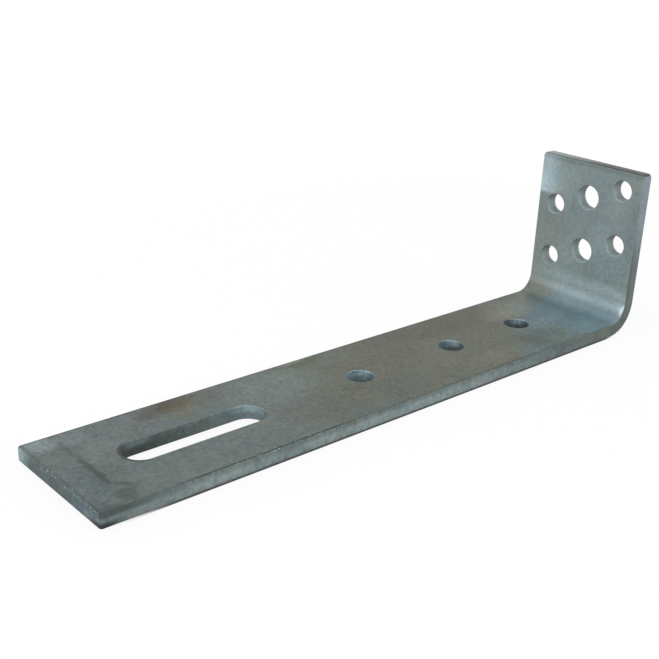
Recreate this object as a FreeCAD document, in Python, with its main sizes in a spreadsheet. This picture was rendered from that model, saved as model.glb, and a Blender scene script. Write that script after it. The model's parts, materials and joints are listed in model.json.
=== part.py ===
import FreeCAD, Part
import os
import Sketcher
from math import pi

# Wall plate anchor: one flat steel bar, punched, and bent square near one end.
# X runs along the leg to the upstand, Y across the bar and Z up from the underside.
# The origin lies under the middle of the part, on the surface that the leg rests on.

sizes = (
    ("strip_width", "60", "width of the flat bar"),
    ("strip_thickness", "6", "thickness of the flat bar"),
    ("leg_length", "300", "free end of the leg to the back of the upstand"),
    ("upstand_height", "80", "underside of the leg to the top end of the upstand"),
    ("bend_radius", "9", "inside radius of the bend"),
    ("top_corner_round", "2", "rounding of the two corners at the top of the upstand"),
    ("end_corner_round", "1.2", "rounding of the two corners at the free end of the leg"),
    ("edge_round", "1", "rounding of the edges round the leg's top and the upstand's front"),
    ("back_edge_round", "0.5", "rounding of the edges round the underside and the back"),
    ("rim_round", "0.4", "drawn-in rim on the punched side of the holes and the slot"),
    ("slot_length", "64", "length of the slot over its round ends"),
    ("slot_width", "15", "width of the slot"),
    ("slot_from_end", "27", "free end of the leg to the slot"),
    ("leg_hole_diameter", "12", "holes on the middle line of the leg"),
    ("leg_hole_from_bend", "37", "start of the bend to the nearest leg hole"),
    ("leg_hole_near_pitch", "47", "leg hole nearest the bend to the middle one"),
    ("leg_hole_far_pitch", "57", "middle leg hole to the one nearest the slot"),
    ("middle_hole_diameter", "12", "upstand holes of the middle column"),
    ("side_hole_diameter", "10", "upstand holes of the two side columns"),
    ("side_hole_from_edge", "11", "edge of the bar to a side column"),
    ("upper_row_from_top", "17.5", "top end to the middle hole of the upper row"),
    ("lower_row_from_bend", "20", "end of the bend to the middle hole of the lower row"),
    ("row_rise", "7.5", "height between neighbouring holes of a slanting row"),
)

doc = FreeCAD.newDocument("wall_plate_anchor")
sheet = doc.addObject("Spreadsheet::Sheet", "Sizes")
for row, (alias, value, note) in enumerate(sizes, start=1):
    sheet.set("A%d" % row, note)
    sheet.set("B%d" % row, value)
    sheet.setAlias("B%d" % row, alias)
doc.recompute()

body = doc.addObject("PartDesign::Body", "Anchor")
body.Label = "bent_anchor_strip"


def size(alias):
    return float(sheet.get(alias))


def new_sketch(name, role):
    plane = next(item for item in body.Origin.OriginFeatures if item.Role == role)
    sketch = body.newObject("Sketcher::SketchObject", name)
    sketch.AttachmentSupport = (plane, [""])
    sketch.MapMode = "FlatFace"
    return sketch


def start_of(curve):
    return curve, 1


def end_of(curve):
    return curve, 2


def centre_of(curve):
    return curve, 3


origin = (-1, 1)


def draw_line(sketch, start, end):
    return sketch.addGeometry(Part.LineSegment(FreeCAD.Vector(*start), FreeCAD.Vector(*end)))


def draw_circle(sketch, centre, radius):
    return sketch.addGeometry(Part.Circle(FreeCAD.Vector(*centre), FreeCAD.Vector(0, 0, 1), radius))


def draw_arc(sketch, centre, radius, first_angle, last_angle):
    circle = Part.Circle(FreeCAD.Vector(*centre), FreeCAD.Vector(0, 0, 1), radius)
    return sketch.addGeometry(Part.ArcOfCircle(circle, first_angle, last_angle))


def hold(sketch, kind, *references):
    sketch.addConstraint(Sketcher.Constraint(kind, *references))


def measure(sketch, kind, first, second, expression):
    step = sketch.getPoint(*second) - sketch.getPoint(*first)
    length = step.x if kind == "DistanceX" else step.y
    number = sketch.addConstraint(Sketcher.Constraint(kind, *first, *second, length))
    sketch.setExpression("Constraints[%d]" % number, expression)


def set_radius(sketch, curve, expression):
    number = sketch.addConstraint(Sketcher.Constraint("Radius", curve, sketch.Geometry[curve].Radius))
    sketch.setExpression("Constraints[%d]" % number, expression)


def settle(sketch):
    doc.recompute()
    if not sketch.FullyConstrained:
        raise RuntimeError("%s is not fully constrained" % sketch.Name)


def cut_through(sketch, name):
    settle(sketch)
    before = body.Shape.Volume
    pocket = body.newObject("PartDesign::Pocket", name)
    pocket.Profile = sketch
    pocket.Type = "ThroughAll"
    pocket.Reversed = True
    doc.recompute()
    if pocket.Shape.Volume >= before:
        raise RuntimeError("%s removes nothing" % name)


def flat_face(normal, distance):
    near = 1e-6
    for face in body.Tip.Shape.Faces:
        if isinstance(face.Surface, Part.Plane) and face.normalAt(0, 0).isEqual(normal, near):
            if abs(face.CenterOfMass.dot(normal) - distance) < near:
                return face
    raise RuntimeError("no flat face at %g" % distance)


def bend_face(radius):
    near = 1e-6
    for face in body.Tip.Shape.Faces:
        if isinstance(face.Surface, Part.Cylinder) and abs(face.Surface.Radius - radius) < near:
            if abs(face.Surface.Axis.dot(to_y)) > 1 - near:
                return face
    raise RuntimeError("no bend of radius %g" % radius)


def outline_of(faces):
    edges = [edge for face in faces for edge in face.OuterWire.Edges]
    return [edge for edge in edges if sum(edge.isSame(other) for other in edges) == 1]


def corners_of(face):
    return [edge for edge in face.Edges if edge.BoundBox.YLength < size("strip_thickness") / 10]


def rims_in(face):
    return [edge for wire in face.Wires if not wire.isSame(face.OuterWire) for edge in wire.Edges]


def round_edges(name, edges, radius):
    base = body.Tip
    chosen = []
    for number, edge in enumerate(base.Shape.Edges, start=1):
        if any(edge.isSame(wanted) for wanted in edges):
            chosen.append("Edge%d" % number)
    fillet = body.newObject("PartDesign::Fillet", name)
    fillet.Base = (base, chosen)
    fillet.setExpression("Radius", radius)
    doc.recompute()


to_x, to_y, to_z = FreeCAD.Vector(1, 0, 0), FreeCAD.Vector(0, 1, 0), FreeCAD.Vector(0, 0, 1)
half_length = size("leg_length") / 2
half_width = size("strip_width") / 2
thickness = size("strip_thickness")
height = size("upstand_height")
inner_radius = size("bend_radius")
outer_radius = inner_radius + thickness
bend_x = half_length - outer_radius
bend_z = outer_radius

# Side view of the bar: the long leg, the bend and the short upstand, of one thickness.
profile = new_sketch("SideProfile", "XZ_Plane")
underside = draw_line(profile, (-half_length, 0), (bend_x, 0))
outer_bend = draw_arc(profile, (bend_x, bend_z), outer_radius, -pi / 2, 0)
back = draw_line(profile, (half_length, bend_z), (half_length, height))
top_end = draw_line(profile, (half_length, height), (half_length - thickness, height))
front = draw_line(profile, (half_length - thickness, height), (half_length - thickness, bend_z))
inner_bend = draw_arc(profile, (bend_x, bend_z), inner_radius, -pi / 2, 0)
leg_top = draw_line(profile, (bend_x, thickness), (-half_length, thickness))
free_end = draw_line(profile, (-half_length, thickness), (-half_length, 0))

hold(profile, "Tangent", *end_of(underside), *start_of(outer_bend))
hold(profile, "Tangent", *end_of(outer_bend), *start_of(back))
hold(profile, "Coincident", *end_of(back), *start_of(top_end))
hold(profile, "Coincident", *end_of(top_end), *start_of(front))
hold(profile, "Tangent", *end_of(front), *end_of(inner_bend))
hold(profile, "Tangent", *start_of(inner_bend), *start_of(leg_top))
hold(profile, "Coincident", *end_of(leg_top), *start_of(free_end))
hold(profile, "Coincident", *end_of(free_end), *start_of(underside))
hold(profile, "Coincident", *centre_of(outer_bend), *centre_of(inner_bend))
hold(profile, "Horizontal", *origin, *start_of(underside))
for level_line in (underside, leg_top, top_end):
    hold(profile, "Horizontal", level_line)
for upright_line in (back, front, free_end):
    hold(profile, "Vertical", upright_line)
set_radius(profile, inner_bend, "Sizes.bend_radius")
measure(profile, "DistanceX", start_of(underside), origin, "Sizes.leg_length / 2")
measure(profile, "DistanceX", origin, end_of(back), "Sizes.leg_length / 2")
measure(profile, "DistanceY", origin, end_of(back), "Sizes.upstand_height")
measure(profile, "DistanceY", end_of(free_end), start_of(free_end), "Sizes.strip_thickness")
settle(profile)

strip = body.newObject("PartDesign::Pad", "Strip")
strip.Profile = profile
strip.SideType = "Symmetric"
strip.setExpression("Length", "Sizes.strip_width")

# The slot near the free end, with round ends, on the bar's middle line.
slot = new_sketch("SlotOutline", "XY_Plane")
slot_radius = size("slot_width") / 2
slot_start = size("slot_from_end") + slot_radius - half_length
slot_stop = slot_start + size("slot_length") - size("slot_width")
start_arc = draw_arc(slot, (slot_start, 0), slot_radius, pi / 2, 3 * pi / 2)
near_side = draw_line(slot, (slot_start, -slot_radius), (slot_stop, -slot_radius))
stop_arc = draw_arc(slot, (slot_stop, 0), slot_radius, -pi / 2, pi / 2)
far_side = draw_line(slot, (slot_stop, slot_radius), (slot_start, slot_radius))

hold(slot, "Tangent", *end_of(start_arc), *start_of(near_side))
hold(slot, "Tangent", *end_of(near_side), *start_of(stop_arc))
hold(slot, "Tangent", *end_of(stop_arc), *start_of(far_side))
hold(slot, "Tangent", *end_of(far_side), *start_of(start_arc))
hold(slot, "Equal", start_arc, stop_arc)
hold(slot, "Horizontal", *origin, *centre_of(start_arc))
hold(slot, "Horizontal", *origin, *centre_of(stop_arc))
set_radius(slot, start_arc, "Sizes.slot_width / 2")
measure(slot, "DistanceX", centre_of(start_arc), centre_of(stop_arc),
        "Sizes.slot_length - Sizes.slot_width")
measure(slot, "DistanceX", centre_of(start_arc), origin,
        "Sizes.leg_length / 2 - Sizes.slot_from_end - Sizes.slot_width / 2")
cut_through(slot, "Slot")

# Round holes on the middle line of the leg, counted back from the bend.
leg_holes = new_sketch("LegHoles", "XY_Plane")
leg_hole_radius = size("leg_hole_diameter") / 2
hole_x = bend_x - size("leg_hole_from_bend")
hole_place = "Sizes.leg_length / 2 - Sizes.strip_thickness - Sizes.bend_radius - Sizes.leg_hole_from_bend"
for next_pitch in ("leg_hole_near_pitch", "leg_hole_far_pitch", None):
    leg_hole = draw_circle(leg_holes, (hole_x, 0), leg_hole_radius)
    hold(leg_holes, "Horizontal", *origin, *centre_of(leg_hole))
    set_radius(leg_holes, leg_hole, "Sizes.leg_hole_diameter / 2")
    measure(leg_holes, "DistanceX", origin, centre_of(leg_hole), hole_place)
    if next_pitch:
        hole_x -= size(next_pitch)
        hole_place += " - Sizes." + next_pitch
cut_through(leg_holes, "LegHoleCuts")

# Two slanting rows of holes through the upstand, each lowest at the far edge of the bar.
upstand_holes = new_sketch("UpstandHoles", "YZ_Plane")
column_y = half_width - size("side_hole_from_edge")
column_place = "Sizes.strip_width / 2 - Sizes.side_hole_from_edge"
rise = size("row_rise")
upper_row = (height - size("upper_row_from_top"), "Sizes.upstand_height - Sizes.upper_row_from_top")
lower_row = (bend_z + size("lower_row_from_bend"),
             "Sizes.strip_thickness + Sizes.bend_radius + Sizes.lower_row_from_bend")
for row_z, row_place in (upper_row, lower_row):
    near_hole = draw_circle(upstand_holes, (-column_y, row_z + rise), size("side_hole_diameter") / 2)
    middle_hole = draw_circle(upstand_holes, (0, row_z), size("middle_hole_diameter") / 2)
    far_hole = draw_circle(upstand_holes, (column_y, row_z - rise), size("side_hole_diameter") / 2)
    set_radius(upstand_holes, near_hole, "Sizes.side_hole_diameter / 2")
    set_radius(upstand_holes, middle_hole, "Sizes.middle_hole_diameter / 2")
    set_radius(upstand_holes, far_hole, "Sizes.side_hole_diameter / 2")
    measure(upstand_holes, "DistanceX", centre_of(near_hole), origin, column_place)
    hold(upstand_holes, "Vertical", *origin, *centre_of(middle_hole))
    measure(upstand_holes, "DistanceX", origin, centre_of(far_hole), column_place)
    measure(upstand_holes, "DistanceY", origin, centre_of(near_hole), row_place + " + Sizes.row_rise")
    measure(upstand_holes, "DistanceY", origin, centre_of(middle_hole), row_place)
    measure(upstand_holes, "DistanceY", origin, centre_of(far_hole), row_place + " - Sizes.row_rise")
cut_through(upstand_holes, "UpstandHoleCuts")

# The corners at the bar's two cut ends are rounded through its thickness.
round_edges("TopCorners", corners_of(flat_face(to_z, height)), "Sizes.top_corner_round")
round_edges("EndCorners", corners_of(flat_face(-to_x, half_length)), "Sizes.end_corner_round")

# The shears draw in the edges of the upper side and leave those of the other side sharper.
upper_side = (flat_face(to_z, thickness), bend_face(inner_radius), flat_face(-to_x, thickness - half_length))
round_edges("UpperEdges", outline_of(upper_side), "Sizes.edge_round")
lower_side = (flat_face(-to_z, 0), bend_face(outer_radius), flat_face(to_x, half_length))
round_edges("LowerEdges", outline_of(lower_side), "Sizes.back_edge_round")

# The punch draws in the rims on the leg's top face and on the upstand's front face.
leg_face, upstand_face = flat_face(to_z, thickness), flat_face(-to_x, thickness - half_length)
round_edges("Rims", rims_in(leg_face) + rims_in(upstand_face), "Sizes.rim_round")

for item in doc.Objects:
    if "Invalid" in item.State or "Error" in item.State:
        raise RuntimeError("%s failed" % item.Name)
shape = body.Shape
if shape.isNull() or not shape.isValid() or len(shape.Solids) != 1:
    raise RuntimeError("%s is not one valid solid" % body.Label)

os.makedirs("parts", exist_ok=True)
shape.exportStep("parts/%s.step" % body.Label)
print("%s: %.1f cubic mm" % (body.Label, shape.Volume))
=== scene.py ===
import json
import math
from functools import reduce
from types import SimpleNamespace

import bmesh
import bpy
from mathutils import Matrix, Vector


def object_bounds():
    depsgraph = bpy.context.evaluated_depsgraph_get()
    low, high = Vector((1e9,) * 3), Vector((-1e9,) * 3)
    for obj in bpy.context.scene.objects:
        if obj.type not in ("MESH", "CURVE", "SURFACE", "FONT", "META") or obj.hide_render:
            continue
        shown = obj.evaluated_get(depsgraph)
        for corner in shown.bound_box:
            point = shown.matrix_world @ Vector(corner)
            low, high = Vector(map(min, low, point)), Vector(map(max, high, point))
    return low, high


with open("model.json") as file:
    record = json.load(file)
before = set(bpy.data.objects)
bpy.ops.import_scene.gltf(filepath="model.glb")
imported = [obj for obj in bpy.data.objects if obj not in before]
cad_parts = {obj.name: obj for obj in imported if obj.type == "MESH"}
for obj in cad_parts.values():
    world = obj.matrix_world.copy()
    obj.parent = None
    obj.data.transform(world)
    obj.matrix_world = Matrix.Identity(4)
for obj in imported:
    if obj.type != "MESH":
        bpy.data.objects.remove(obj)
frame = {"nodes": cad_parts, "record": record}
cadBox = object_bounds()
scene = bpy.context.scene
scene.view_settings.view_transform = "Standard"
strip = frame["nodes"]["bent_anchor_strip"]
print("frame loaded:", ", ".join(frame["nodes"]))

# the anchor's measures in mm, from the frame where it gives them
mm = 1000.0
mounts = {mount["name"]: mount for mount in frame["record"]["mounts"]}
bores = [mount for mount in mounts.values() if mount["kind"] == "bore"]
anchorSize = {
    "freeEnd": cadBox[0][0] * mm,
    "halfLength": cadBox[1][0] * mm,
    "halfWidth": cadBox[1][1] * mm,
    "topZ": cadBox[1][2] * mm,
    "thickness": mounts["leg_top"]["pos_m"][2] * mm,
    "upFace": mounts["upstand_front"]["pos_m"][0] * mm,
    "bendRadius": 9.0,
    "slotMiddle": mounts["adjusting_slot"]["pos_m"][0] * mm,
    "slotHalfRun": 24.5,
    "slotHalfWidth": 7.5,
    "legHoles": [(bore["pos_m"][0] * mm, bore["dims"]["r_mm"]) for bore in bores if bore["axis"][2]],
    "upHoles": [(bore["pos_m"][1] * mm, bore["pos_m"][2] * mm, bore["dims"]["r_mm"])
                for bore in bores if bore["axis"][0]],
}
anchorSize["bendStart"] = anchorSize["upFace"] - anchorSize["bendRadius"]


class Wire:
    # one output of a node tree; sums on it add Math nodes
    def __init__(self, tree, socket=None):
        self.tree = tree
        self.socket = socket

    def find(self, sockets, name):  # by place in the list or by name
        if isinstance(name, int):
            return sockets[name]
        return next(socket for socket in sockets if name in (socket.identifier, socket.name))

    def make(self, kind, settings=None, values=None, out=0):
        node = self.tree.nodes.new(kind)
        for name, value in (settings or {}).items():
            setattr(node, name, value)
        for name, value in (values or {}).items():
            target = self.find(node.inputs, name)
            if isinstance(value, Wire):
                self.tree.links.new(value.socket, target)
            else:
                target.default_value = value
        if isinstance(out, tuple):
            return [Wire(self.tree, self.find(node.outputs, name)) for name in out]
        return Wire(self.tree, self.find(node.outputs, out) if len(node.outputs) else None)

    def math(self, operation, first, second=0.0):
        return self.make("ShaderNodeMath", {"operation": operation}, {0: first, 1: second})

    def __add__(self, other):
        return self.math("ADD", self, other)

    def __radd__(self, other):
        return self.math("ADD", other, self)

    def __sub__(self, other):
        return self.math("SUBTRACT", self, other)

    def __rsub__(self, other):
        return self.math("SUBTRACT", other, self)

    def __mul__(self, other):
        return self.math("MULTIPLY", self, other)

    def __rmul__(self, other):
        return self.math("MULTIPLY", other, self)

    def __truediv__(self, other):
        return self.math("DIVIDE", self, other)

    def __rtruediv__(self, other):
        return self.math("DIVIDE", other, self)

    def __pow__(self, other):
        return self.math("POWER", self, other)

    def __neg__(self):
        return self.math("MULTIPLY", self, -1.0)

    def __abs__(self):
        return self.math("ABSOLUTE", self)


# small words for the shader sums below
def rise(value, low, high):  # 0 at low, 1 at high, eased; low may be the larger
    return value.make("ShaderNodeMapRange", {"interpolation_type": "SMOOTHSTEP"},
                      {"Value": value, "From Min": low, "From Max": high})


def unevenRise(value, uneven, low, high, share):  # a rise whose edge wanders
    return rise(value + uneven * share, low, high)


def band(value, low, full, fullEnd, high):  # 1 from full to fullEnd, 0 outside low and high
    return rise(value, low, full) * rise(value, high, fullEnd)


def oval(across, along, gone=1.2, full=0.1):  # 1 in the middle, fading out just past a reach of 1
    return rise(across * across + along * along, gone, full)


def swing(wave):  # noise about 0 instead of 0.5
    return wave - 0.5


def least(first, second):
    return first.math("MINIMUM", first, second)


def most(first, second):
    return first.math("MAXIMUM", first, second)


def mix(factor, first, second):
    return factor.make("ShaderNodeMix", {"data_type": "RGBA"},
                       {"Factor_Float": factor, "A_Color": first, "B_Color": second}, out="Result_Color")


def gain(colour, value):  # brightens, darkens or tints a colour
    return colour.make("ShaderNodeMix", {"data_type": "RGBA", "blend_type": "MULTIPLY"},
                       {"Factor_Float": 1.0, "A_Color": colour, "B_Color": value}, out="Result_Color")


def tinted(factor, colour, tint):  # tints a colour where the factor is 1
    return mix(factor, colour, gain(colour, (*tint, 1.0)))


def noise(vector, scale, detail=2.0, roughness=0.5, distortion=0.0):
    return vector.make("ShaderNodeTexNoise", None,
                       {"Vector": vector, "Scale": scale, "Detail": detail,
                        "Roughness": roughness, "Distortion": distortion})


def stretch(vector, x, y, z):
    return vector.make("ShaderNodeVectorMath", {"operation": "MULTIPLY"}, {0: vector, 1: (x, y, z)})


def shift(vector, x, y, z):
    return vector.make("ShaderNodeVectorMath", {"operation": "ADD"}, {0: vector, 1: (x, y, z)})


def reach(vector, x, y, z):  # how far a point is from this place
    return vector.make("ShaderNodeVectorMath", {"operation": "DISTANCE"},
                       {0: vector, 1: (x, y, z)}, out="Value")


def tone(r, g, b):  # screen colour 0 to 255 to a linear one
    parts = [c / 255 for c in (r, g, b)]
    return (*[c / 12.92 if c <= 0.04045 else ((c + 0.055) / 1.055) ** 2.4 for c in parts], 1.0)


def named(entries):  # a dictionary's entries as attributes
    return SimpleNamespace(**entries)


def newMaterial(name):
    material = bpy.data.materials.new(name)
    material.use_nodes = True
    material.node_tree.nodes.clear()
    return material, Wire(material.node_tree)


def legBoreGap(place, size):  # how far out from the nearest bore of the leg, in mm
    x, y = place.make("ShaderNodeSeparateXYZ", None, {0: place}, out=("X", "Y"))
    pastRun = most(abs(x - size.slotMiddle) - size.slotHalfRun, 0.0)
    slotSpot = place.make("ShaderNodeCombineXYZ", None, {0: pastRun, 1: y})
    gaps = [reach(slotSpot, 0, 0, 0) - size.slotHalfWidth]
    flat = stretch(place, 1, 1, 0)
    gaps += [reach(flat, holeX, 0, 0) - radius for holeX, radius in size.legHoles]
    return reduce(least, gaps)


def upBoreGap(place, size):  # the same for the holes of the upstand
    flat = stretch(place, 0, 1, 1)
    return reduce(least, [reach(flat, 0, holeY, holeZ) - radius for holeY, holeZ, radius in size.upHoles])


# dull zinc skin of the strip, painted in layers: tones as they show under plain light, places in mm.
# Two numbers say where a zone starts and where it is full, and a third how much its edge wanders.
# Four say where a band starts, is full, stays full until and ends.
# Along is x, across is y, up is z, down is depth under the punched face, turn is a part of the normal.
brown = tone(85, 78, 60)
green = tone(90, 99, 84)
darkMark = tone(52, 60, 57)
shearBright = tone(138, 151, 151)

placeLook = {
    "raggedSwing": 14.0,
    "bendBlend": 2.0,
    "wallGap": (0.22, 0.04),
    "lipGap": (0.75, 0.4),
    "topTurn": (0.6, 0.92),
    "sideTurn": (0.3, 0.7),
    "endTurn": (0.5, 0.9),
    "endReach": (2.5, 0.8),
    "topEndReach": (3.0, 1.0),
    "innerTurn": (-0.2, 0.4),
}


def skinPlaces(paint, look, size):  # where each point lies, which way it looks, and the grain there
    spot, normal = paint.make("ShaderNodeTexCoord", out=("Object", "Normal"))
    place = stretch(spot, mm, mm, mm)
    x, y, z = paint.make("ShaderNodeSeparateXYZ", None, {0: place}, out=("X", "Y", "Z"))
    nx, ny, nz = paint.make("ShaderNodeSeparateXYZ", None, {0: normal}, out=("X", "Y", "Z"))
    skin = SimpleNamespace(place=place, x=x, y=y, z=z, nx=nx, ny=ny, nz=nz, size=size)

    # clouds, blotches, fine grit, shifts of hue, rolling lines, shear streaks, a wander for ragged edges
    skin.cloud = noise(place, scale=0.04, detail=4.0, roughness=0.55, distortion=0.5)
    skin.blotch = noise(shift(place, 31, 7, 3), scale=0.15, detail=4.0, roughness=0.6)
    skin.grit = noise(place, scale=0.55, detail=3.0, roughness=0.7)
    skin.hue = noise(shift(place, 17, 29, 5), scale=0.2, detail=4.0, roughness=0.65)
    skin.rolled = noise(stretch(place, 0.03, 0.5, 0.5), scale=1.0, detail=3.0, roughness=0.6)
    skin.streak = noise(stretch(place, 0.9, 0.9, 0.12), scale=1.0, detail=3.0, roughness=0.6)
    skin.wander = noise(shift(place, 5, 61, 17), scale=0.28, detail=4.0, roughness=0.65)
    skin.ragged = swing(skin.wander) * look.raggedSwing
    skin.speckle = swing(skin.blotch)
    skin.grain = skin.grit + skin.blotch

    # bores, and how deep a point lies under the punched face
    skin.onLeg = rise(x - size.bendStart, look.bendBlend, -look.bendBlend)
    skin.rim = legBoreGap(place, size) * skin.onLeg + upBoreGap(place, size) * (1 - skin.onLeg)
    skin.wall = rise(skin.rim, *look.wallGap)
    skin.lip = rise(skin.rim, *look.lipGap) * (1 - skin.wall)
    legDepth = least(size.thickness - z, size.thickness)
    skin.depth = legDepth * skin.onLeg + (x - size.upFace) * (1 - skin.onLeg)

    # which way each face looks; inner is the leg's top, the inside of the bend and the upstand's front
    skin.top = rise(nz, *look.topTurn) * skin.onLeg * (1 - skin.wall)
    skin.side = rise(abs(ny), *look.sideTurn) * (1 - skin.wall)
    skin.endFace = rise(-nx, *look.endTurn) * rise(x - size.freeEnd, *look.endReach)
    skin.topEnd = rise(nz, *look.endTurn) * rise(size.topZ - z, *look.topEndReach)
    skin.inner = rise(nz - nx, *look.innerTurn)
    return skin


def legPatch(skin, atX, atY, reachX, reachY, raggedX=0.5, raggedY=0.3):  # ragged oval on the leg's top
    offX = (skin.x - atX + skin.ragged * raggedX) / reachX
    offY = (skin.y - atY + skin.ragged * raggedY) / reachY
    return oval(offX, offY) * skin.top


def upPatch(skin, atY, atZ, reachY, reachZ, raggedY=0.4, raggedZ=0.5):  # the same on the upstand's front
    offY = (skin.y - atY + skin.ragged * raggedY) / reachY
    offZ = (skin.z - atZ + skin.ragged * raggedZ) / reachZ
    return oval(offY, offZ) * skin.inner


legLook = {
    "cold": tone(107, 117, 115),
    "olive": tone(103, 106, 93),
    "oliveAlong": (-74, -10, 100, 128),
    "oliveShare": 0.9,
    "cloudAt": (0.5, 0.75),
    "cloudShare": 0.4,
    "patches": [  # x, y, reach x, reach y, strength, tone
        (-43, 14, 26, 18, 0.8, tone(112, 124, 119)),
        (108, 17, 18, 14, 0.6, tone(124, 127, 117)),
        (97, 14, 12, 9, 0.6, tone(136, 133, 119)),
        (70, 21, 38, 13, 0.65, tone(95, 96, 83)),
        (62, -21, 24, 8, 0.4, tone(124, 125, 113)),
        (30, 24, 26, 11, 0.5, tone(97, 99, 89)),
        (-6, 22, 12, 6, 0.6, tone(103, 115, 107)),
        (-21, 29.5, 9, 3, 0.6, tone(136, 142, 132)),
        (-21, -27, 14, 6, 0.6, tone(99, 111, 110)),
        (-50, -13, 10, 9, 0.7, tone(105, 108, 101)),
        (-88, 15.5, 7, 5, 0.6, tone(105, 106, 93)),
        (-126.5, 5, 5, 5, 0.6, tone(84, 96, 95)),
        (-132, 23, 7, 6, 0.6, tone(130, 138, 140)),
        (4, -18, 19, 12, 0.6, tone(93, 100, 95)),
        (-144, 25, 8, 7, 0.75, tone(140, 152, 156)),
        (-129, 8, 12, 9, 0.5, tone(126, 130, 129)),
        (-143, -12, 6, 18, 0.55, tone(95, 108, 111)),
        (-147, -26, 5, 6, 0.5, tone(76, 88, 89)),
    ],
    "dullAcross": (-4, -18, 0.3),
    "dullAlong": (76, 90, 106, 122),
    "dullShade": 0.32,
    "blue": tone(105, 124, 131),
    "blueSlant": 1.1,
    "blueAlong": (87, 120, 0.6),
    "blueAcross": (27, 2),
    "blueShare": 0.9,
    "blueDulled": 0.5,
    "paleSlant": 0.8,
    "paleAlong": (84, 126),
    "paleShare": 0.75,
    "paleLossUp": (6.5, 10),
    "paleLoss": 0.3,
    "stains": [  # brown beside the slot, green by the far edge
        (-87, 25.5, 11, 7, 0.95, brown),
        (-96, 22.5, 10, 6, 0.55, brown),
        (-79, 27, 7, 4, 0.6, brown),
        (-75, 23, 13, 7, 0.45, tone(106, 101, 87)),
        (-85, 20, 5, 4, 0.5, tone(116, 103, 78)),
        (-21, 25, 5, 3, 0.7, green),
        (-12, 26, 6, 3, 0.6, green),
    ],
    "stainLeast": 0.6,
    "stainBlotch": (0.3, 0.6),
}


def legTone(skin, look):
    x, y, z = skin.x, skin.y, skin.z
    # cold at the free end, olive in the middle
    cloudy = rise(skin.cloud, *look.cloudAt) * look.cloudShare
    colour = mix(most(skin.olive * look.oliveShare, cloudy), look.cold, look.olive)
    for *where, strength, shade in look.patches:
        colour = mix(legPatch(skin, *where) * strength, colour, shade)
    # blue towards the bend, with painted light making it paler there, darker along the near edge there
    dull = unevenRise(y, skin.ragged, *look.dullAcross) * band(x, *look.dullAlong) * skin.top
    blue = unevenRise(x - y * look.blueSlant, skin.ragged, *look.blueAlong) * rise(y, *look.blueAcross)
    colour = mix(blue * (look.blueShare - dull * look.blueDulled), colour, look.blue)
    paintedLift = rise(x - y * look.paleSlant, *look.paleAlong) * look.paleShare
    paintedLift = paintedLift - rise(z, *look.paleLossUp) * look.paleLoss
    colour = gain(colour, 1.0 + paintedLift * skin.inner - dull * look.dullShade)
    patchy = look.stainLeast + rise(skin.blotch, *look.stainBlotch) * (1 - look.stainLeast)
    for *where, strength, shade in look.stains:
        colour = mix(legPatch(skin, *where) * patchy * strength, colour, shade)
    return colour


upstandLook = {
    "grey": tone(122, 135, 136),
    "warm": tone(122, 128, 121),
    "warmCloud": (0.45, 0.7),
    "warmCloudShare": 0.6,
    "warmPatch": (25, 42, 15, 30),  # y, z, reach y, reach z
    "warmPatchShare": 0.5,
    "pale": tone(172, 192, 199),
    "paleAcross": (13, 29, 0.2),
    "paleUp": (58.5, 61, 0.08),
    "paleShare": 0.85,
    "paleLossUp": (64, 73),
    "paleLoss": 0.25,
    "lights": [  # y, z, reach y, reach z, tint
        (-15, 41, 13, 17, (1.16, 1.17, 1.25)),
        (-17, 61, 9, 7, (1.12, 1.12, 1.13)),
        (11, 67, 7, 10, (1.13, 1.13, 1.13)),
    ],
    "lowLiftUp": (24, 15),
    "lowLift": 0.95,
    "middleLiftUp": (50, 20),
    "middleLift": 0.3,
    "liftAcross": (36, 6),
    "nearEdgeIn": (2.0, 0.8),
    "nearEdgeUp": (20, 34),
    "nearEdgeLift": 0.12,
    "topEdgeIn": (3.5, 1.8),
    "topEdgeShade": 0.2,
    "startUp": (8, 22),
}


def upstandTone(skin, look, colour):
    y, z, size = skin.y, skin.z, skin.size
    # blue grey, warmer low on the far side, with a painted highlight by the far top corner
    warm = rise(skin.cloud, *look.warmCloud) * look.warmCloudShare
    warm = warm + upPatch(skin, *look.warmPatch) * look.warmPatchShare
    upTone = mix(warm, look.grey, look.warm)
    pale = unevenRise(y, skin.ragged, *look.paleAcross) * unevenRise(z, skin.ragged, *look.paleUp)
    paleShare = look.paleShare - rise(z, *look.paleLossUp) * look.paleLoss
    upTone = mix(pale * skin.inner * paleShare, upTone, look.pale)
    for *where, lift in look.lights:
        upTone = tinted(upPatch(skin, *where), upTone, lift)
    # painted highlight low down towards the bend and along the near edge, painted shade under the top edge
    bendLight = rise(z, *look.lowLiftUp) * look.lowLift + rise(z, *look.middleLiftUp) * look.middleLift
    nearEdge = rise(y + size.halfWidth, *look.nearEdgeIn) * rise(z, *look.nearEdgeUp)
    topEdge = rise(size.topZ - z, *look.topEdgeIn)
    lift = bendLight * rise(y, *look.liftAcross) + nearEdge * look.nearEdgeLift - topEdge * look.topEdgeShade
    upTone = gain(upTone, 1.0 + lift * skin.inner)
    return mix(rise(z, *look.startUp) * (1 - skin.wall), colour, upTone)


bendLook = {
    "up": (6.4, 8.5, 14, 20),
    "tint": (0.97, 0.93, 0.91),
    "farAlong": (108, 124),
    "farUp": (16, 9),
    "farAcross": [(6, 20), (18, 29)],
    "farTint": (0.90, 0.86, 0.80),
    "nearPatch": (-17, 17.5, 12, 5),  # y, z, reach y, reach z
    "nearTint": (1.09, 1.06, 1.11),
    "worn": tone(206, 224, 234),
    "wornAlong": (135, 140),
    "wornSpots": [  # y, z, reach y, reach z, strength
        (-31, 11.5, 4.2, 3.8, 0.85),
        (-31, 12.5, 8.0, 6.0, 0.12),
    ],
}


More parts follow.
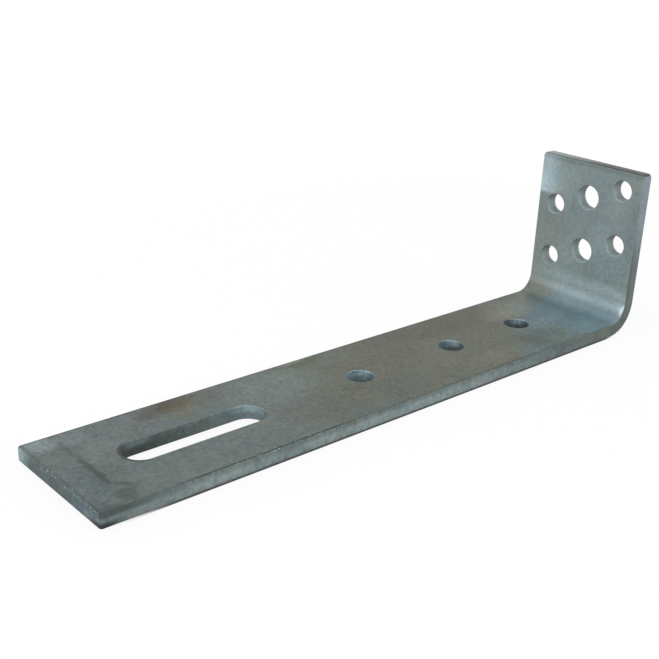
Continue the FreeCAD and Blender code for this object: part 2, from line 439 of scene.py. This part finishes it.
def bendTone(skin, look, colour):  # inside of the bend: warmer, most at its far end
    x, y, z = skin.x, skin.y, skin.z
    colour = tinted(band(z, *look.up) * skin.inner, colour, look.tint)
    far = rise(x, *look.farAlong) * rise(z, *look.farUp) * skin.inner
    for across in look.farAcross:
        colour = tinted(far * rise(y, *across), colour, look.farTint)
    # painted highlight on the near half, just above the bend
    colour = tinted(upPatch(skin, *look.nearPatch), colour, look.nearTint)
    # painted highlight where it meets the near edge, with a faint halo
    spots = [oval((y - atY) / reachY, (z - atZ) / reachZ) * strength
             for atY, atZ, reachY, reachZ, strength in look.wornSpots]
    return mix(reduce(most, spots) * rise(x, *look.wornAlong) * skin.inner, colour, look.worn)


sideLook = {
    "bright": shearBright,
    "dull": tone(93, 104, 102),
    "brightAlong": (-165, -90, 0, 122),
    "brightShare": 0.8,
    "brightLeast": 0.2,
    "brightDown": (-0.9, 3.4),
    "dipX": -78,
    "dipReach": (18, 6),
    "dipShare": 0.3,
    "streakShare": 0.35,
    "speckleShare": 0.25,
    "bendAlong": (96, 128),
    "bendUp": (20, 8),
    "bendTint": (1.06, 1.0, 0.92),
    "upstand": tone(136, 148, 155),
    "upstandUp": (32, 58),
    "upstandShare": 0.95,
}


def sideTone(skin, look, colour):  # sheared sides with upright streaks: painted shade towards the upper edge, which gets less light from the floor, and darker towards the ends
    x, z = skin.x, skin.z
    bright = band(x + skin.ragged, *look.brightAlong) * look.brightShare + look.brightLeast
    bright = bright - rise(abs(x - look.dipX), *look.dipReach) * look.dipShare
    streaky = swing(skin.streak) * look.streakShare + skin.speckle * look.speckleShare
    # painted shade: the bright tone gives way to the dull one towards the upper edge
    shear = mix(bright * rise(skin.depth, *look.brightDown) + streaky, look.dull, look.bright)
    shear = tinted(rise(x, *look.bendAlong) * rise(z, *look.bendUp), shear, look.bendTint)
    shear = mix(rise(z, *look.upstandUp) * look.upstandShare, shear, look.upstand)
    return mix(skin.side, colour, shear)


endLook = {
    "grey": tone(88, 104, 109),
    "pale": tone(107, 124, 129),
    "paleGrain": (0.8, 1.25),
    "dull": tone(82, 94, 92),
    "dullAcross": (-22, -4, 0.4),
    "dullShare": 0.8,
    "far": tone(148, 164, 166),
    "farAcross": (19, 29, 0.4),
    "top": tone(90, 95, 89),
    "topFar": tone(158, 166, 162),
    "topAcross": (-12, 27, 1.0),
}


def endTone(skin, look, colour):  # cut ends of the leg and the upstand
    legEnd = mix(rise(skin.grain, *look.paleGrain), look.grey, look.pale)
    legEnd = mix(unevenRise(skin.y, skin.ragged, *look.dullAcross) * look.dullShare, legEnd, look.dull)
    legEnd = mix(unevenRise(skin.y, skin.ragged, *look.farAcross), legEnd, look.far)
    colour = mix(skin.endFace, colour, legEnd)
    upEnd = mix(unevenRise(skin.y, skin.ragged, *look.topAcross), look.top, look.topFar)
    return mix(skin.topEnd, colour, upEnd)


boreLook = {
    "wall": tone(100, 116, 122),
    "deep": tone(60, 68, 66),
    "deepDown": (1.8, 5.6, 3.0),
    "deepShare": 0.75,
    "ahead": (0.82, 0.57),  # the way the camera looks, in plan
    "facingAcross": (0.7, 0.2),
    "facingTurn": (0.0, 0.4),
    "scoredAt": (0.35, 0.65),
    "cleanAlong": (100, -10),
    "cleanLift": 0.9,
    "nearTurn": (0.1, 0.8),
    "nearShade": 0.28,
    "shine": tone(176, 200, 210),
    "shineDown": (3.8, 1.0),
    "shineLeast": 0.3,
    "shineScored": 0.55,
    "shineCleanLoss": 0.6,
    "upWall": tone(150, 166, 170),
    "upDeep": tone(128, 140, 142),
    "upDeepDown": (0.8, 3.4, 2.0),
    "upDarkTurn": (-0.1, 0.75),
    "upDarkShare": 0.75,
    "slotAlong": (-50, -56),
    "slotSide": tone(106, 119, 118),
    "slotDark": tone(69, 77, 71),
    "slotDarkAlong": (-72, -116),
    "slotUpper": tone(108, 124, 127),
    "slotUpperUp": (3.6, 5.0, 3.0),
    "slotUpperShare": 0.5,
    "slotUpperLoss": 0.3,
    "slotPale": tone(112, 128, 134),
    "slotPaleX": -112,
    "slotPaleReach": (8, 3),
    "slotPaleUp": (2.5, 4.5, 2.0),
    "slotPaleShare": 0.7,
    "slotEnd": tone(146, 167, 173),
    "slotEndLow": tone(122, 138, 140),
    "slotEndUp": (2.4, 4.0),
    "slotEndAlong": (-72, -62, 4.0),
    "slotEndStop": (-52, -57),
    "slotEndAcross": (-3.5, 1.5),
    "rimLight": tone(196, 212, 216),
    "legRimTurn": (-0.7, -0.5),
    "upRimTurn": 0.8,
    "rimTurn": (0.12, 0.5),
    "rimGrit": (0.35, 0.6),
    "rimLeast": 0.4,
    "rimSlotAlong": (-68, -76),
    "rimSlotLoss": 0.8,
    "rimShare": 0.75,
    "dullRimGap": (1.9, 0.8),
    "dullRimAlong": (-115, -121),
}


def legHoleWall(skin, look):  # painted shade deeper down and towards the near edge, a painted highlight on the far wall broken by score marks, brighter towards the free end
    aheadX, aheadY = look.ahead
    deep = unevenRise(skin.depth, skin.speckle, *look.deepDown)
    wallTone = mix(deep * look.deepShare, look.wall, look.deep)
    across = skin.ny * aheadX - skin.nx * aheadY
    facing = rise(skin.nx * -aheadX - skin.ny * aheadY, *look.facingTurn)
    facing = facing * rise(abs(across), *look.facingAcross)
    scores = noise(stretch(skin.place, 1.3, 1.3, 0.1), scale=1.0, detail=2.0, roughness=0.6)
    scored = look.shineLeast + rise(scores, *look.scoredAt) * look.shineScored
    clean = rise(skin.x, *look.cleanAlong)
    shine = facing * rise(skin.depth, *look.shineDown) * scored * (1 - clean * look.shineCleanLoss)
    wallTone = mix(shine, wallTone, look.shine)
    nearShade = 1.0 - rise(across, *look.nearTurn) * look.nearShade
    return gain(wallTone, nearShade * (1.0 + clean * look.cleanLift))


def upHoleWall(skin, look):  # pale, with painted shade deeper in and on the upper half, which faces down
    wallTone = mix(unevenRise(skin.depth, skin.speckle, *look.upDeepDown), look.upWall, look.upDeep)
    return mix(rise(-skin.nz, *look.upDarkTurn) * look.upDarkShare, wallTone, look.deep)


def slotWall(skin, look):  # painted shade, darkest towards the free end and low on the wall, lighter at the other end
    x, z, speckle = skin.x, skin.z, skin.speckle
    dark = rise(x, *look.slotDarkAlong)
    wallTone = mix(dark, look.slotSide, look.slotDark)
    upperShare = look.slotUpperShare - dark * look.slotUpperLoss
    wallTone = mix(unevenRise(z, speckle, *look.slotUpperUp) * upperShare, wallTone, look.slotUpper)
    pale = rise(abs(x - look.slotPaleX), *look.slotPaleReach) * unevenRise(z, speckle, *look.slotPaleUp)
    return mix(pale * look.slotPaleShare, wallTone, look.slotPale)


def boreTone(skin, look, colour):
    x, y, z = skin.x, skin.y, skin.z
    wallTone = mix(1 - skin.onLeg, legHoleWall(skin, look), upHoleWall(skin, look))
    wallTone = mix(rise(x, *look.slotAlong), wallTone, slotWall(skin, look))
    # painted light on the slot's end wall towards the bend, paler higher up
    lit = unevenRise(x, skin.speckle, *look.slotEndAlong) * rise(x, *look.slotEndStop)
    litTone = mix(rise(z, *look.slotEndUp), look.slotEndLow, look.slotEnd)
    wallTone = mix(lit * rise(y, *look.slotEndAcross), wallTone, litTone)
    # drawn-in rims: a painted highlight on the far side, darker at the slot's outer end
    rimX, rimY = look.legRimTurn
    legRim = skin.nx * rimX + skin.ny * rimY
    upRim = (skin.nz - skin.ny) * look.upRimTurn
    farRim = skin.lip * rise(legRim * skin.onLeg + upRim * (1 - skin.onLeg), *look.rimTurn)
    farRim = farRim * (1 - rise(x, *look.rimSlotAlong) * look.rimSlotLoss)
    farRim = farRim * (look.rimLeast + rise(skin.grit, *look.rimGrit) * (1 - look.rimLeast))
    colour = mix(farRim * look.rimShare, colour, look.rimLight)
    darkRim = rise(skin.rim, *look.dullRimGap) * rise(x, *look.dullRimAlong) * skin.top
    colour = mix(darkRim, colour, look.slotDark)
    return mix(skin.wall, colour, wallTone)


grainLook = {
    "quietAlong": (96, 134),
    "quietShare": 0.45,
    "speckle": 0.45,
    "grit": 1.3,
    "cloud": 0.5,
    "rolled": 0.08,
    "hueAt": (0.25, 0.75),
    "cool": (0.96, 1.0, 1.04, 1.0),
    "warm": (1.04, 1.0, 0.95, 1.0),
    "endIn": (2.2, 0.6),
    "endTurn": (0.2, 0.6, 0.9, 0.995),
    "farEdgeIn": (1.3, 0.5),
    "farEdgeUp": (4.4, 5.4),
    "roundingShade": 0.3,
}


def grainTone(skin, look, colour):
    size = skin.size
    # smoother by the bend and on the upstand
    quiet = 1.0 - rise(skin.x, *look.quietAlong) * look.quietShare
    grainy = (skin.speckle * look.speckle + swing(skin.grit) * look.grit) * quiet
    colour = gain(colour, 1.0 + swing(skin.cloud) * look.cloud + grainy + swing(skin.rolled) * look.rolled)
    colour = mix(rise(skin.hue, *look.hueAt), gain(colour, look.cool), gain(colour, look.warm))
    # painted shade on the roundings at the cut ends and along the far edge, dimming their highlight
    ends = rise(skin.x - size.freeEnd, *look.endIn) + rise(size.topZ - skin.z, *look.endIn)
    farEdge = rise(size.halfWidth - skin.y, *look.farEdgeIn) * rise(skin.z, *look.farEdgeUp) * skin.onLeg
    return gain(colour, 1.0 - (ends * band(skin.nz, *look.endTurn) + farEdge) * look.roundingShade)


stainLook = {
    "dark": darkMark,
    "lineX": -137.0,
    "lineSwing": 6.0,
    "lineParts": [  # reach off the line, strength, where it starts across
        ((2.0, 0.4), 0.55, (-15.5, -13.5)),
        ((7.0, 1.0), 0.15, (-22, -16)),
    ],
    "lineFarEnd": (27, 14),
    "lineLeast": 0.55,
    "lineFullAcross": (14, -2),
    "lineGrain": (0.6, 1.0),
    "hookAt": (-133.5, -16.69),
    "hookSwing": 2.0,
    "hookWide": (1.7, 0.3),
    "hookLong": (3.8, 2.2),
    "hookShare": 0.55,
    "smudges": [  # x, y, reach x, reach y, strength
        (-131.5, -20.5, 3.2, 3.0, 0.4),
        (-136, -23.5, 4.5, 6.0, 0.5),
    ],
}


def endStain(skin, look):  # ragged line across the free end, with a hook and smudges at its near end
    x, y, wander = skin.x, skin.y, swing(skin.wander)
    off = abs(x - look.lineX + wander * look.lineSwing)
    line = sum(rise(off, *wide) * share * rise(y, *start) for wide, share, start in look.lineParts)
    line = line * rise(y, *look.lineFarEnd) * rise(skin.grain, *look.lineGrain)
    line = line * (look.lineLeast + rise(y, *look.lineFullAcross) * (1 - look.lineLeast))
    hookX, hookY = look.hookAt
    slant = math.sqrt(0.5)
    hookWide = abs((x - hookX + (y - hookY)) * slant + wander * look.hookSwing)
    hookLong = abs((x - hookX - (y - hookY)) * slant)
    hook = rise(hookWide, *look.hookWide) * rise(hookLong, *look.hookLong) * look.hookShare
    smudges = [legPatch(skin, *where) * strength for *where, strength in look.smudges]
    return reduce(most, [line, hook, *smudges]) * skin.top


def stainTone(skin, look, colour):
    return mix(skin.stain, colour, look.dark)


edgeLook = {
    "dark": darkMark,
    "creaseIn": 1.0,
    "creaseSwing": 0.8,
    "creaseWide": (0.45, 0.1),
    "creaseUp": (4.5, 5.4),
    "creaseGrit": (0.25, 0.42),
    "creaseBlotch": (0.42, 0.58),
    "creaseMiddle": (-122, -108, -46, -30),
    "creaseLeast": 0.15,
    "creaseBlotchShare": 0.35,
    "creaseMiddleShare": 0.65,
    "grimeWide": (4.0, 0.5),
    "grimeAlong": (-130, -141),
    "grimeUp": (3.0, 5.0),
    "grimeGrain": (0.75, 1.15),
    "grimeShare": 0.45,
    "endLineIn": 1.2,
    "endLineWide": (0.6, 0.15),
    "endLineUp": (4.8, 5.6),
    "endLineGrit": (0.35, 0.55),
    "endLineShare": 0.5,
    "fleck": tone(196, 204, 202),
    "fleckAt": (0.66, 0.72),
    "fleckWide": (1.2, 0.5),
    "fleckAlong": (-105, -95, -45, -35),
    "fleckEndIn": 0.6,
    "fleckUp": (4.0, 5.2),
    "fleckShare": 0.7,
}


def edgeTone(skin, look, colour):
    x, y, z, size = skin.x, skin.y, skin.z, skin.size
    # painted shade in the crease under the long edges, most in the middle, and grime towards the near
    # corner
    edgeY = abs(y) - size.halfWidth + look.creaseIn
    crease = rise(abs(edgeY + swing(skin.wander) * look.creaseSwing), *look.creaseWide)
    crease = crease * rise(z, *look.creaseUp) * rise(skin.grit, *look.creaseGrit) * skin.onLeg
    blotchy = look.creaseLeast + rise(skin.blotch, *look.creaseBlotch) * look.creaseBlotchShare
    crease = crease * (blotchy + band(x, *look.creaseMiddle) * look.creaseMiddleShare)
    grime = rise(abs(y + size.halfWidth - look.creaseIn), *look.grimeWide) * rise(x, *look.grimeAlong)
    grime = grime * rise(z, *look.grimeUp) * rise(skin.grain, *look.grimeGrain) * look.grimeShare
    # dark line along the free end's upper edge
    endX = x - size.freeEnd
    endLine = rise(abs(endX - look.endLineIn), *look.endLineWide) * rise(z, *look.endLineUp)
    endLine = endLine * rise(skin.grit, *look.endLineGrit) * look.endLineShare
    colour = mix(reduce(most, [crease, grime, endLine]), colour, look.dark)
    # pale flecks on both edges
    flecks = rise(noise(shift(skin.place, 9, 2, 40), scale=1.1, detail=1.0), *look.fleckAt)
    sideBand = rise(abs(edgeY), *look.fleckWide) * band(x, *look.fleckAlong)
    endBand = rise(abs(endX - look.fleckEndIn), *look.fleckWide)
    flecks = flecks * most(sideBand, endBand) * rise(z, *look.fleckUp)
    return mix(flecks * look.fleckShare, colour, look.fleck)


nearSideLook = {
    "turn": (0.2, 0.5),
    "clean": shearBright,
    "cleanX": -133,
    "cleanReach": (9, 3),
    "cleanRagged": 0.3,
    "cleanUp": (4.6, 2.8),
    "cleanShare": 0.4,
    "dirt": darkMark,
    "dirtAlong": (-112, -140, 1.0),
    "dirtUp": (3.0, 4.8),
    "dirtGrit": (0.35, 0.6),
    "dirtLeast": 0.2,
    "dirtGritShare": 0.28,
    "foot": tone(34, 37, 35),
    "footDown": (5.2, 5.7),
    "footTurn": (0.1, 0.4),
    "footShare": 0.55,
    "cornerUp": (3.2, 1.2),
    "cornerAlong": (-140, -148),
    "cornerAcross": (-20, -28),
    "cornerShare": 0.85,
}


def nearSideTone(skin, look, colour):  # paler beside the corner, grimy above that, painted contact shade along the foot and low at the near corner
    x, z = skin.x, skin.z
    nearSide = rise(-skin.ny, *look.turn) * skin.onLeg
    clean = rise(abs(x - look.cleanX + skin.ragged * look.cleanRagged), *look.cleanReach)
    colour = mix(clean * rise(z, *look.cleanUp) * nearSide * look.cleanShare, colour, look.clean)
    dirt = unevenRise(x, skin.ragged, *look.dirtAlong) * rise(z, *look.dirtUp) * nearSide
    dirt = dirt * (look.dirtLeast + rise(skin.grit, *look.dirtGrit) * look.dirtGritShare)
    colour = mix(dirt, colour, look.dirt)
    # painted contact shade: dark along the foot and low at the near corner
    foot = rise(skin.depth, *look.footDown) * rise(abs(skin.ny), *look.footTurn) * (1 - skin.wall)
    corner = rise(z, *look.cornerUp) * rise(x, *look.cornerAlong) * rise(skin.y, *look.cornerAcross)
    return mix(most(foot * look.footShare, corner * look.cornerShare), colour, look.foot)


pitLook = {
    "dark": darkMark,
    "at": (0.66, 0.71),
    "topCornerAcross": (-19, -24),
    "topCornerUp": (60, 64, 72, 76),
    "endCornerAlong": (-144, -148),
    "endCornerAcross": (-24, -28),
    "cutShare": 0.4,
}


def pitTone(skin, look, colour):  # at the near corners of the upstand's top and the leg, in the cut faces
    pits = rise(noise(shift(skin.place, 3, 50, 11), scale=0.75, detail=1.5, roughness=0.6), *look.at)
    topCorner = rise(skin.y, *look.topCornerAcross) * band(skin.z, *look.topCornerUp)
    endCorner = rise(skin.x, *look.endCornerAlong) * rise(skin.y, *look.endCornerAcross)
    cutFaces = most(skin.side, skin.endFace) * look.cutShare
    return mix(pits * reduce(most, [topCorner, endCorner, cutFaces]), colour, look.dark)


surfaceLook = {
    "metallic": 0.7,
    "stainMetal": 0.25,
    "wallMetal": 0.2,
    "oliveStain": 0.4,
    "roughness": 0.5,
    "speckleRough": 0.2,
    "gritRough": 0.16,
    "stainRough": 0.08,
    "sideRough": 0.06,
    "gritHeight": 0.6,
    "blotchHeight": 0.8,
    "rolledHeight": 0.1,
    "streakHeight": 0.8,
    "bump": 0.3,
    "bumpDepth": 0.0003,
}


def zincSkin(size):
    material, paint = newMaterial("galvanised_steel")
    skin = skinPlaces(paint, named(placeLook), size)
    skin.olive = band(skin.x + skin.ragged, *legLook["oliveAlong"])
    skin.stain = endStain(skin, named(stainLook))
    colour = legTone(skin, named(legLook))
    layers = [(upstandTone, upstandLook), (bendTone, bendLook), (sideTone, sideLook), (endTone, endLook),
              (boreTone, boreLook), (grainTone, grainLook), (stainTone, stainLook), (edgeTone, edgeLook),
              (nearSideTone, nearSideLook), (pitTone, pitLook)]
    for layer, layerLook in layers:
        colour = layer(skin, named(layerLook), colour)
    look = named(surfaceLook)
    stained = most(skin.stain, skin.olive * skin.top * look.oliveStain)
    metal = look.metallic - stained * look.stainMetal - skin.wall * look.wallMetal
    rough = look.roughness + skin.speckle * look.speckleRough + swing(skin.grit) * look.gritRough
    rough = rough + stained * look.stainRough + skin.side * look.sideRough
    height = skin.grit * look.gritHeight + skin.blotch * look.blotchHeight + skin.rolled * look.rolledHeight
    height = height + skin.streak * skin.side * look.streakHeight
    normal = paint.make("ShaderNodeBump", None,
                        {"Strength": look.bump, "Distance": look.bumpDepth, "Height": height})
    shader = paint.make("ShaderNodeBsdfPrincipled", None,
                        {"Base Color": colour, "Metallic": metal, "Roughness": rough, "Normal": normal})
    paint.make("ShaderNodeOutputMaterial", None, {"Surface": shader})
    return material


strip.data.materials.clear()
strip.data.materials.append(zincSkin(named(anchorSize)))
print("zinc skin on the strip")

# pale floor: shaded by the part close to it, plain white further out; lengths in metres
floorLook = {
    "size": 6.0,
    "drop": 0.0002,
    "colour": (0.94, 0.94, 0.94, 1.0),
    "whiteReach": (0.03, 0.3),
    "nearWhite": 0.88,
    # painted contact shadow along the near foot, placed from that foot, the free end and the start of the
    # bend
    "contact": (0.05, 0.05, 0.05, 1.0),
    "contactAcross": (-0.0007, -0.0001, 0.001, 0.0015),
    "contactStart": (0.001, 0.03),
    "contactStop": (0.004, -0.005),
    # opening under the leg, from the same places, the sides and, in mm, the bores
    "openStart": (0.0003, 0.0007),
    "openStop": (-0.0005, -0.001),
    "openSides": (-0.0004, -0.0008),
    "openBores": (0.2, 0.6),
}


def floorMesh(look):
    mesh = bpy.data.meshes.new("paleFloor")
    shape = bmesh.new()
    bmesh.ops.create_grid(shape, x_segments=1, y_segments=1, size=look.size / 2)
    bmesh.ops.translate(shape, verts=shape.verts, vec=(0, 0, -look.drop))
    shape.to_mesh(mesh)
    shape.free()
    return mesh


def floorPaint(look, size):
    material, paint = newMaterial("floor_white")
    spot = paint.make("ShaderNodeTexCoord", out="Object")
    x, y = paint.make("ShaderNodeSeparateXYZ", None, {0: spot}, out=("X", "Y"))
    fromEnd = x - size.freeEnd / mm
    fromBend = x - size.bendStart / mm
    pastSides = abs(y) - size.halfWidth / mm
    overX = most(abs(x) - size.halfLength / mm, 0.0)
    overY = most(pastSides, 0.0)
    far = rise((overX * overX + overY * overY) ** 0.5, *look.whiteReach)
    # painted contact shadow: a thin dark line on the floor along the near foot
    contactShadow = band(y + size.halfWidth / mm, *look.contactAcross)
    contactShadow = contactShadow * rise(fromEnd, *look.contactStart) * rise(fromBend, *look.contactStop)
    rays = ("Is Camera Ray", "Is Glossy Ray", "Is Transmission Ray")
    seen, glossy, clearRay = paint.make("ShaderNodeLightPath", out=rays)
    white = most(seen * most(far, look.nearWhite * (1 - contactShadow)), most(glossy, clearRay) * far)
    matt = paint.make("ShaderNodeBsdfDiffuse", None, {"Color": mix(contactShadow, look.colour, look.contact)})
    glow = paint.make("ShaderNodeEmission", None, {"Color": (1, 1, 1, 1), "Strength": 1.0})
    both = paint.make("ShaderNodeMixShader", None, {0: white, 1: matt, 2: glow})
    # open from below and under the leg, so the underside has light
    below = paint.make("ShaderNodeNewGeometry", out="Backfacing")
    under = rise(fromEnd, *look.openStart) * rise(fromBend, *look.openStop)
    under = under * rise(pastSides, *look.openSides)
    under = under * rise(legBoreGap(stretch(spot, mm, mm, mm), size), *look.openBores)
    clear = paint.make("ShaderNodeBsdfTransparent")
    opened = paint.make("ShaderNodeMixShader", None, {0: most(below, under), 1: both, 2: clear})
    paint.make("ShaderNodeOutputMaterial", None, {"Surface": opened})
    return material


def paleFloor(look, size):
    mesh = floorMesh(look)
    mesh.materials.append(floorPaint(look, size))
    floor = bpy.data.objects.new("paleFloor", mesh)
    scene.collection.objects.link(floor)


paleFloor(named(floorLook), named(anchorSize))

# soft studio light from a pale room and three soft boxes
lightLook = {
    "horizon": (1.0, 1.0, 1.0, 1.0),
    "zenith": (0.75, 0.76, 0.77, 1.0),
    "zenithUp": (0.0, 0.9),
    "boxes": [
        # name, place, aim, width, height, watts, colour
        ("leftBackBox", (-1.15, 1.05, 0.5), (0.05, 0, 0.03), 1.3, 0.9, 6.0, (0.97, 0.99, 1.0)),
        ("rightFrontBox", (0.75, -1.3, 0.7), (0, 0, 0.02), 1.2, 0.8, 3.4, (1.0, 0.99, 0.97)),
        ("overBox", (-0.3, -0.15, 1.4), (0, 0, 0), 1.0, 1.0, 3.0, (1.0, 1.0, 1.0)),
    ],
}


def softLight(look):
    world = bpy.data.worlds.new("studio")
    scene.world = world
    world.use_nodes = True
    world.node_tree.nodes.clear()
    paint = Wire(world.node_tree)
    ahead = paint.make("ShaderNodeTexCoord", out="Generated")
    up = paint.make("ShaderNodeSeparateXYZ", None, {0: ahead}, out="Z")
    sky = mix(rise(up, *look.zenithUp), look.horizon, look.zenith)
    paint.make("ShaderNodeOutputWorld", None,
               {"Surface": paint.make("ShaderNodeBackground", None, {"Color": sky, "Strength": 1.0})})
    for name, place, aim, width, height, watts, colour in look.boxes:
        lamp = bpy.data.lights.new(name, "AREA")
        lamp.shape = "RECTANGLE"
        lamp.size, lamp.size_y = width, height
        lamp.energy = watts
        lamp.color = colour
        box = bpy.data.objects.new(name, lamp)
        scene.collection.objects.link(box)
        box.location = place
        box.rotation_euler = (Vector(aim) - Vector(place)).to_track_quat("-Z", "Y").to_euler()


softLight(named(lightLook))
print("floor and soft boxes set")

# camera at the photograph's angle
cameraLook = {
    "place": (-0.29948, -0.30564, 0.19929),
    "aim": (0.02781, 0.05871, 0.0),
    "lens": 59.017,
    "sensor": 36.0,
    "rollDegrees": 2.351,
    "clipStart": 0.01,
}


def photoCamera(look):
    lens = bpy.data.cameras.new("photoCamera")
    lens.sensor_width = look.sensor
    lens.lens = look.lens
    lens.clip_start = look.clipStart
    camera = bpy.data.objects.new("photoCamera", lens)
    scene.collection.objects.link(camera)
    place = Vector(look.place)
    turn = (Vector(look.aim) - place).to_track_quat("-Z", "Y").to_matrix().to_4x4()
    roll = Matrix.Rotation(math.radians(look.rollDegrees), 4, "Z")
    camera.matrix_world = Matrix.Translation(place) @ turn @ roll
    scene.camera = camera


photoCamera(named(cameraLook))
print("camera set")
